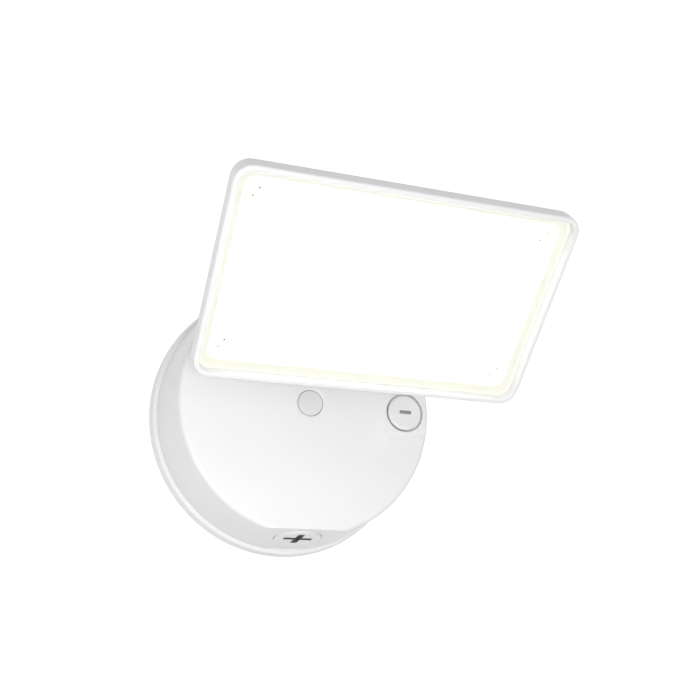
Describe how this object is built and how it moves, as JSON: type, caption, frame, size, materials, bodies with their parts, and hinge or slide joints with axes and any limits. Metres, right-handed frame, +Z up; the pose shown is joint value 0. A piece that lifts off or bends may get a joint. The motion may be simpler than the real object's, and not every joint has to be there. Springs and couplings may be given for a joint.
{
  "type": "outdoor wall floodlight",
  "caption": "Round wall canopy carrying one flat rectangular floodlight head on a short arm that swivels and tilts; two closed accessory ports.",
  "frame": {"origin": "centre of the canopy on the wall plane", "axes": "+Z up, +X to the right of someone facing the lamp, +Y into the wall, so the lamp stands out towards -Y"},
  "size_m": [0.151, 0.132, 0.1359],
  "materials": {
    "white_casting": "satin powder coat",
    "white_cap": "satin",
    "grey_cap": "satin",
    "clear_lens": "gloss",
    "lit_panel": "opal, lit warm white",
    "light_guide": "gloss",
    "reflector": "matte",
    "rubber": "matte",
    "grey_foam": "matte",
    "silicone": "matte",
    "steel": "zinc plated, satin",
    "earth_screw": "satin",
    "circuit_board": "satin",
    "copper": "satin",
    "black_plastic": "satin",
    "ivory_plastic": "satin",
    "led": "matte",
    "grey_plastic": "satin"
  },
  "bodies": {
    "root": {"canopy_housing": "white_casting", "wall_gasket": "grey_foam", "mounting_bar": "steel", "ground_screw": "earth_screw", "centre_bolt": "steel", "bolt_seal": "rubber", "centre_cap": "white_cap", "port_plug": "white_cap", "port_plug_seal": "rubber", "side_cap": "grey_cap", "side_cap_seal": "rubber", "driver_board": "circuit_board", "driver_transformer": "black_plastic", "driver_choke": "copper", "input_capacitor": "black_plastic", "output_capacitor": "black_plastic", "terminal_block": "ivory_plastic", "board_screw_1": "steel", "board_screw_2": "steel"},
    "arm": {"swivel_arm": "white_casting", "hub_seal": "rubber", "hub_washer": "steel", "hub_locknut": "steel", "arm_grommet": "rubber", "knuckle_bolt": "steel", "knuckle_washer": "steel", "friction_disc": "rubber"},
    "head": {"head_housing": "white_casting", "knuckle_nut": "steel", "lens": "clear_lens", "lens_gasket": "silicone", "diffuser_panel": "lit_panel", "panel_screw_1": "white_cap", "panel_screw_2": "white_cap", "panel_screw_3": "white_cap", "panel_screw_4": "white_cap", "light_guide": "light_guide", "reflector_sheet": "reflector", "led_strip_top": "led", "led_strip_bottom": "led", "gland_body": "grey_plastic", "gland_nut": "grey_plastic"}
  },
  "joints": [
    {"name": "arm_swivel", "type": "hinge", "parent": "root", "child": "arm", "pos_m": [0, -0.0452, 0.0394], "axis": [0, 1, 0], "range_deg": [-90, 90]},
    {"name": "head_tilt", "type": "hinge", "parent": "arm", "child": "head", "pos_m": [0.0143, -0.0626, 0.0394], "axis": [1, 0, 0], "range_deg": [-65, 24]}
  ]
}
